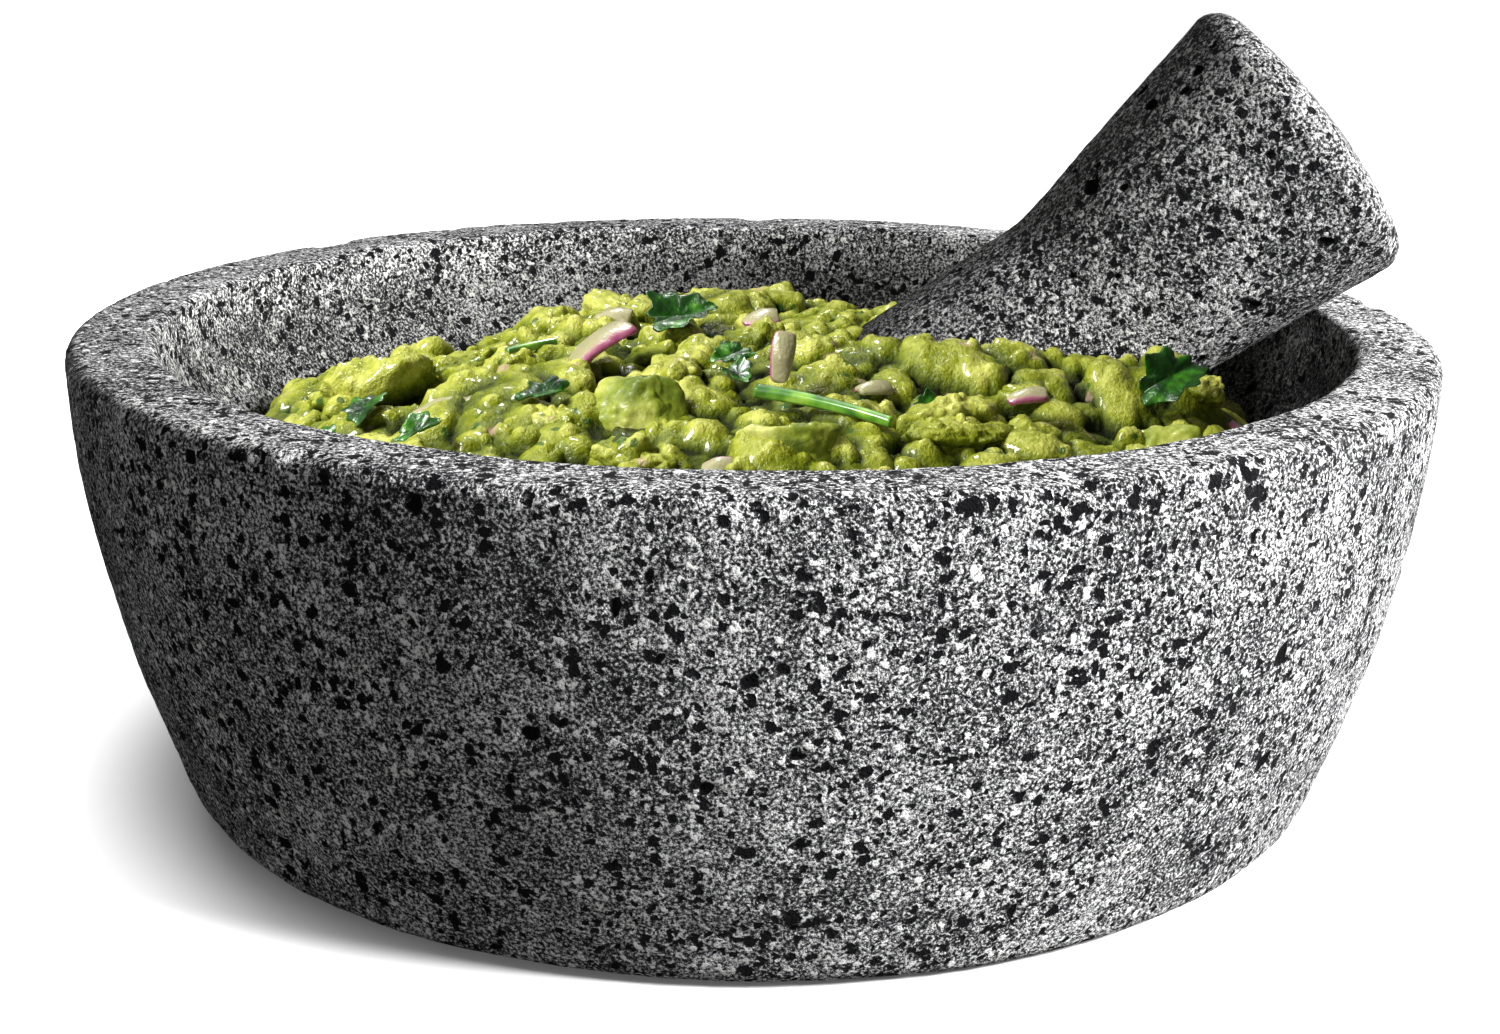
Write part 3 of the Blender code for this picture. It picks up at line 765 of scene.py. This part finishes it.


# Wet paste: painted shade, dark olive, in the creases and painted light, yellow-green, on the lumps' tops,
# both from the stored relief, with flecks of leaf and onion.
def pasteFinish():
    made, flow, shader = newFinish("guacamolePaste", {
        "Subsurface Weight": 0.15, "Subsurface Radius": (1.0, 0.9, 0.25), "Subsurface Scale": 2 * mm,
        "Coat Roughness": 0.08, "Specular IOR Level": 0.22,
    })
    place = flow.place()
    loose = flow.warped(place, 0.35, 2.2)
    relief = flow.stored("relief")
    tint = flow.stored("tint") - 0.5
    mottle = flow.noise(place, 0.16, 3.0, 0.6)
    fine = flow.noise(place, 0.9, 3.0, 0.65)
    # The relief sets the tone: low creases get painted shade and raised tops get painted light.
    blend = relief - 0.1 + (mottle - 0.5) + (fine - 0.5) * 0.45 + tint * 0.34
    body = blend.ramped([
        (0.0, (0.010, 0.016, 0.001)), (0.28, (0.060, 0.080, 0.002)), (0.52, (0.138, 0.166, 0.006)),
        (0.75, (0.235, 0.262, 0.018)), (1.0, (0.42, 0.43, 0.08)),
    ])
    leaf = flow.cellPick(loose, 0.42).step(0.9, 0.93) * (0.38 - flow.voronoi(loose, 0.42)).step(0.0, 0.1)
    greened = body.mixed((0.02, 0.075, 0.008, 1), leaf * 0.85)
    pink = flow.cellPick(loose, 0.3, 1).step(0.93, 0.96) * (0.42 - flow.voronoi(loose, 0.3)).step(0.0, 0.15)
    colour = greened.mixed((0.42, 0.27, 0.22, 1), pink * 0.55)
    height = fine * 0.6 + flow.noise(place, 1.9, 2.0, 0.6) * 0.34
    wet = flow.noise(place, 0.25, 2.0, 0.5).step(0.35, 0.65)
    shine = relief.step(0.25, 0.7)
    wetShine = wet * shine
    joinTo(shader, Base_Color=colour, Roughness=0.95 - shine * 0.55 - wetShine * 0.22,
           Coat_Weight=wetShine * 0.5, Normal=height.bumped(0.8))
    return made


# Avocado flesh: pale yellow-green to darker green in slow mottled patches, by noise.
def fleshFinish():
    made, flow, shader = newFinish("avocadoFlesh", {
        "Subsurface Weight": 0.15, "Subsurface Radius": (1.0, 0.9, 0.3), "Subsurface Scale": 2 * mm,
        "Coat Roughness": 0.1, "Specular IOR Level": 0.3,
    })
    place = flow.place()
    mottle = flow.noise(place, 0.12, 2.0, 0.5)
    fine = flow.noise(place, 0.8, 3.0, 0.6)
    body = (mottle + (fine - 0.5) * 0.3).ramped([
        (0.32, (0.095, 0.135, 0.008)), (0.45, (0.175, 0.215, 0.015)), (0.55, (0.27, 0.305, 0.038)),
        (0.70, (0.44, 0.445, 0.11)),
    ])
    height = fine * 0.3 + flow.noise(place, 2.5, 1.0, 0.5) * 0.1
    joinTo(shader, Base_Color=body, Roughness=0.58 - fine * 0.15, Coat_Weight=0.04 + mottle * 0.2,
           Normal=height.bumped(0.5))
    return made


avocadoLook = {
    "swell": 1.06, "sink": 1.4, "thick": 1.15, "reliefFrom": 3.5, "reliefRange": 4.4,
    "cutShape": (0.36, 0.4, 9, 9.0, 0.1), "heapedShape": (0.4, 0.9, 8, 3.8, 0.26),   # chunkShape's last five
    "cut": {   # size, turn about the height and lean back in degrees, rise over the CAD middle
        "avocado_slab_front": ((14.0, 6.5, 13.0), -8, 24, 0.8),
        "avocado_block_front": ((16.0, 9.0, 9.0), 4, 10, 0.6),
        "avocado_corner_right": ((10.0, 7.0, 8.0), 20, 15, 0.6),
    },
}


# Chunks: the cut ones stand up and show clean sides, and paste with its beads clings to the others.
def makeAvocado(look, finish, paste):
    for number, node in enumerate(sorted(n for n in frame["nodes"] if n.startswith("avocado_"))):
        middle, axes, extent = nodeFrame(node)
        size = extent * look["swell"] * np.array([1, 1, look["thick"]])
        if node in look["cut"]:
            size, turn, lean, rise = look["cut"][node]
            points, faces = chunkShape(size, number + 3, *look["cutShape"])
            axes = turnedAxes(turnedAxes(np.eye(3), -lean, "X"), turn, "Z")
            points = middle + np.array([0, 0, rise]) + points @ axes
        else:
            points, faces = chunkShape(size, number + 3, *look["heapedShape"])
            points = middle - np.array([0, 0, look["sink"]]) + points @ axes
        # Height over the mound, stored as relief: on the pieces in paste, the finish paints low parts dark as
        # painted shade and high parts light as painted light.
        above = points[:, 2] - moundHeight(points[:, 0], points[:, 1], heapLook)
        relief = np.clip((above + look["reliefFrom"]) / look["reliefRange"], 0, 1)
        numbers = {"relief": relief, "tint": 0 * above + 0.2 + 0.07 * number}
        bare = node in look["cut"]
        putMesh(pieceName(node), points, faces, finish if bare else paste, "filling", [node],
                numbers)
    print("avocado pieces")


# A node's name in the script's own style.
def pieceName(node):
    words = node.split("_")
    return words[0] + "".join(word.capitalize() for word in words[1:])


onionLook = {
    "rows": 34, "columns": 36, "thick": 0.95, "wide": {"onion_standing": 0.8},
    "tip": {"onion_sliver_long": -26, "onion_dice_top": -14, "onion_pink_ridge": -18},   # degrees
}


# A sliver: a flat section with nearly square edges carried along an arch, and bent across like the
# layer of onion that it was cut from. Its ends are cut off square.
def sliverShape(length, width, look, seed):
    rows, columns = look["rows"], look["columns"]
    t = np.sin(np.linspace(-np.pi / 2, np.pi / 2, rows + 2))[1:-1, None]
    u = np.linspace(0, 2 * np.pi, columns, endpoint=False)[None, :]
    narrow = (1 - 0.22 * t ** 2 + 0.12 * t * np.sin(seed)) * (1 - np.abs(t) ** 18) ** 0.5
    across = np.sign(np.cos(u)) * np.abs(np.cos(u)) ** 0.32
    up = np.sign(np.sin(u)) * np.abs(np.sin(u)) ** 0.4 * (1 - np.abs(t) ** 16) ** 0.5
    arch = -0.12 * length * t ** 2 - 0.20 * width * (across * narrow) ** 2 + 0.10 * width * t * across
    rings = np.stack([length / 2 * t + 0 * u, width / 2 * across * narrow, arch + look["thick"] / 2 * up], -1)
    rings[..., 1] += 0.05 * width * clouds(rings, 3.0, seed)
    rings[..., 2] += 0.25 * cloud(rings, 2.2, seed + 4) - rings[..., 2].mean()
    return closedRings(rings, rings[0].mean(0), rings[-1].mean(0)), across + 0 * t


# Onion: watery white, with the purple skin side along one edge and a fine bump.
def onionFinish():
    made, flow, shader = newFinish("redOnion", {
        "Subsurface Weight": 0.35, "Subsurface Radius": (1.0, 0.7, 0.8), "Subsurface Scale": 3 * mm,
        "Coat Roughness": 0.12, "Coat Weight": 0.35, "Roughness": 0.34,
    })
    place = flow.place()
    mottle = flow.noise(place, 0.5, 2.0, 0.5)
    colour = (flow.stored("skin") + (mottle - 0.5) * 0.5).ramped([
        (0.0, (0.30, 0.30, 0.14)), (0.4, (0.36, 0.28, 0.20)), (0.7, (0.34, 0.12, 0.17)),
        (1.0, (0.22, 0.030, 0.10)),
    ])
    bump = (flow.noise(place, 1.6, 2.0, 0.6) * 0.4).bumped(0.35)
    joinTo(shader, Base_Color=colour, Normal=bump)
    return made


# A sliver in the place and axes of each onion node, with its skin number high along one edge.
def makeOnions(look):
    finish = onionFinish()
    for number, node in enumerate(sorted(n for n in frame["nodes"] if n.startswith("onion_"))):
        middle, axes, extent = nodeFrame(node)
        axes = turnedAxes(axes, look["tip"].get(node, 0), "Y")
        wide = 1.1 * look["wide"].get(node, 1)
        (points, faces), across = sliverShape(extent[0] * 1.05, extent[1] * wide, look, number)
        side = across * (-1) ** number
        skin = np.concatenate([(0.10 + 0.78 * ramp(side, 0.55, 1)).ravel(), [0.2, 0.2]])
        points = middle + points @ axes
        putMesh(pieceName(node), points, faces, finish, "filling", [node], {"skin": skin})
    print("onion pieces")


leafLook = {
    "rings": 14, "outline": 96, "thick": 0.32, "grow": 1.2, "lean": 18, "lift": 0.1,
    "fold": 0.42, "wave": 0.16, "crimp": 0.5,
}


# A leaf: lobes and teeth round a centre, folded along its midrib, wavy towards its edge.
def leafShape(length, width, seed, look):
    rings, outline = look["rings"], look["outline"]
    turn = np.linspace(0, 2 * np.pi, outline, endpoint=False)[None, :]
    out = (np.linspace(0.06, 1, rings) ** 0.8)[:, None]
    coarse = 0.12 * np.cos(3 * turn + 0.4 * seed) + 0.09 * np.cos(8 * turn + seed)
    lobes = 0.80 + coarse + 0.02 * np.cos(19 * turn)
    reach = lobes * out
    x, y = reach * np.cos(turn) * length / 2, reach * np.sin(turn) * width / 2
    flat = np.stack([x, y, 0 * x + seed * 9], -1)
    waves = look["wave"] * length * out ** 2 * cloud(flat, 0.42 * length, seed)
    rise = look["fold"] * np.abs(y) + waves + look["crimp"] * out ** 3 * cloud(flat, 1.4, seed + 2)
    half = look["thick"] / 2
    thin = half * (1 - out ** 6)
    low, top = np.stack([x, y, rise - thin], -1), np.stack([x, y, rise + thin], -1)
    middle = rise[0].mean()
    return closedRings(np.concatenate([low[:-1], top[::-1]]), (0, 0, middle - half), (0, 0, middle + half))


# Leaf: deep green with paler, shinier patches, all by one slow noise.
def leafFinish():
    made, flow, shader = newFinish("cilantroLeaf", {
        "Subsurface Weight": 0.1, "Subsurface Radius": (0.3, 1.0, 0.1), "Subsurface Scale": 1 * mm,
        "Coat Roughness": 0.1,
    })
    place = flow.place()
    mottle = flow.noise(place, 0.28, 3.0, 0.6)
    colour = mottle.ramped([
        (0.35, (0.004, 0.020, 0.002)), (0.5, (0.010, 0.055, 0.004)), (0.62, (0.035, 0.15, 0.008)),
        (0.75, (0.11, 0.28, 0.02)),
    ])
    bump = (flow.noise(place, 1.1, 3.0, 0.6) * 0.5).bumped(0.5)
    joinTo(shader, Base_Color=colour, Roughness=0.5 - mottle * 0.3, Coat_Weight=mottle * 0.4, Normal=bump)
    return made


# A leaf in the place of each leaf node, grown a little and leaned about the room's X axis.
def makeLeaves(look, finish):
    for number, node in enumerate(sorted(n for n in frame["nodes"] if n.startswith("cilantro_leaf"))):
        middle, axes, extent = nodeFrame(node)
        grow = look["grow"]
        points, faces = leafShape(extent[0] * grow, extent[1] * grow, number + 1, look)
        points = middle + np.array([0, 0, look["lift"]]) + points @ turnedAxes(axes, look["lean"], "X")
        putMesh(pieceName(node), points, faces, finish, "filling", [node])
    print("cilantro leaves")


stemLook = {"rows": 50, "sides": 24, "ribs": 5, "ribDepth": 0.06, "taper": 0.15}


# A stem: a ribbed round section carried along a line bowed sideways.
def makeStems(look):
    made, flow, shader = newFinish("cilantroStem", {
        "Coat Weight": 0.6, "Coat Roughness": 0.1, "Subsurface Weight": 0.15, "Subsurface Scale": mm,
    })
    place = flow.place()
    mottle = flow.noise(place, 0.3, 2.0, 0.5)
    colour = mottle.ramped([
        (0.35, (0.03, 0.12, 0.01)), (0.55, (0.10, 0.28, 0.02)), (0.75, (0.30, 0.50, 0.06)),
    ])
    joinTo(shader, Base_Color=colour, Roughness=0.45 - mottle * 0.2)
    for node in sorted(n for n in frame["nodes"] if n.startswith("cilantro_stem")):
        middle, axes, extent = nodeFrame(node)
        t = np.linspace(-1, 1, look["rows"])[:, None]
        u = np.linspace(0, 2 * np.pi, look["sides"], endpoint=False)[None, :]
        radius = extent[2] / 2 * (1 + look["ribDepth"] * np.cos(look["ribs"] * u)) * (1 - look["taper"] * t)
        bow = (extent[1] - extent[2]) * (0.5 - t ** 2)
        rings = np.stack([extent[0] / 2 * t + 0 * u, bow + radius * np.cos(u), radius * np.sin(u)], -1)
        points, faces = closedRings(rings, rings[0].mean(0), rings[-1].mean(0))
        putMesh(pieceName(node), middle + points @ axes, faces, made, "filling", [node])
    print("cilantro stems")


studioLook = {
    "cameraBack": 369.8, "cameraAside": -1.3, "cameraUp": 73.56,
    "pitch": 16.17, "yaw": 0.14, "roll": 0.62, "lens": 55.3,
    "lamps": {   # turn and rise in degrees, distance and size in metres, power in watts, what it lights
        "key": (-33.0, 29.0, 0.58, 0.17, 12.2, "rest"), "foodKey": (-158, 46, 0.58, 0.17, 7.0, "food"),
        "fill": (-112, 14, 0.9, 0.15, 1.7, None), "side": (20, 17, 0.58, 0.17, 6.4, "rest"),
        "back": (118, 10, 0.9, 0.3, 3.0, "rest"), "top": (100, 50, 0.6, 0.07, 1.4, "food"),
    },
    "shadowStart": 90, "shadowEnd": 118, "shadowTone": 0.02, "sky": 0.045,
}


# The camera: set off from the middle of the rim by three distances, then turned by yaw, pitch and roll.
def makeCamera(look):
    data = bpy.data.cameras.new("camera")
    data.lens = look["lens"]
    data.sensor_width = 36
    data.clip_start = 0.01
    camera = bpy.data.objects.new("camera", data)
    bpy.context.scene.collection.objects.link(camera)
    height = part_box("bowl")[1][2] / mm + look["cameraUp"]
    camera.matrix_world = (
        Matrix.Translation((look["cameraAside"] * mm, -look["cameraBack"] * mm, height * mm))
        @ Matrix.Rotation(-np.radians(look["yaw"]), 4, "Z")
        @ Matrix.Rotation(np.radians(90 - look["pitch"]), 4, "X")
        @ Matrix.Rotation(np.radians(look["roll"]), 4, "Z")
    )
    bpy.context.scene.camera = camera


# A square lamp that looks at the middle of the bowl from a turn and a rise, in degrees.
def makeLamp(name, turn, rise, away, size, power):
    data = bpy.data.lights.new(name, "AREA")
    data.shape = "SQUARE"
    data.size = size
    data.energy = power
    lamp = bpy.data.objects.new(name, data)
    bpy.context.scene.collection.objects.link(lamp)
    turn, rise = np.radians(turn), np.radians(rise)
    way = np.array([np.cos(turn) * np.cos(rise), np.sin(turn) * np.cos(rise), np.sin(rise)])
    lamp.location = way * away + np.array([0, 0, 0.05])
    lamp.rotation_euler = (np.pi / 2 - rise, 0, turn + np.pi / 2)
    return lamp


# A pale floor that glows white further out, painted light that fades the shadow as it leaves the foot.
# It is darker to everything but the eye, so that little light comes back up from it.
def floorFinish(look):
    made, flow, shader = newFinish("paleFloor", {"Roughness": 0.9, "Emission Strength": 1.0})
    seen = flow.node("ShaderNodeLightPath", output="Is Camera Ray")
    away = flow.node("ShaderNodeVectorMath", {"operation": "LENGTH"}, {0: flow.place()}, 1)
    white = away.step(look["shadowStart"], look["shadowEnd"]) * (1 - look["shadowTone"])
    glow = seen * (look["shadowTone"] + white)
    tone = 0.08 + seen * 0.8
    joinTo(shader, Base_Color=tone, Emission_Color=glow)
    return made


# The floor, the lamps, each for the food, for the rest or for both, and a world that only the eye
# sees as white.
def makeStudio(look):
    data = bpy.data.meshes.new("floor")
    data.from_pydata([(-4, -4, 0), (4, -4, 0), (4, 4, 0), (-4, 4, 0)], [], [(0, 1, 2, 3)])
    data.materials.append(floorFinish(look))
    floor = bpy.data.objects.new("floor", data)
    bpy.context.scene.collection.objects.link(floor)
    groups = {name: bpy.data.collections.new(name) for name in ("food", "rest")}
    for piece in bpy.context.scene.objects:
        eaten = piece.name.startswith(("guacamole", "avocado", "onion", "cilantro"))
        groups["food" if eaten else "rest"].objects.link(piece)
    for name, (turn, rise, away, size, power, lights) in look["lamps"].items():
        lamp = makeLamp(name, turn, rise, away, size, power)
        if lights:
            lamp.light_linking.receiver_collection = groups[lights]
    world = bpy.data.worlds.new("studio")
    bpy.context.scene.world = world
    world.use_nodes = True
    flow = Flow(world.node_tree)
    seen = flow.node("ShaderNodeLightPath", output="Is Camera Ray")
    glow = world.node_tree.nodes["Background"]
    glow.inputs["Color"].default_value = (1, 1, 1, 1)
    strength = look["sky"] + seen * (1.0 - look["sky"])
    world.node_tree.links.new(strength.socket, glow.inputs["Strength"])
    bpy.context.scene.view_settings.view_transform = "Standard"
    print("studio")


makeBowl(bowlLook)
makeTejolote(tejoloteLook)
paste = pasteFinish()
makePaste(heapLook, paste)
makeLumps(lumpLook, paste)
makeAvocado(avocadoLook, fleshFinish(), paste)
makeOnions(onionLook)
makeLeaves(leafLook, leafFinish())
makeStems(stemLook)
makeCamera(studioLook)
makeStudio(studioLook)
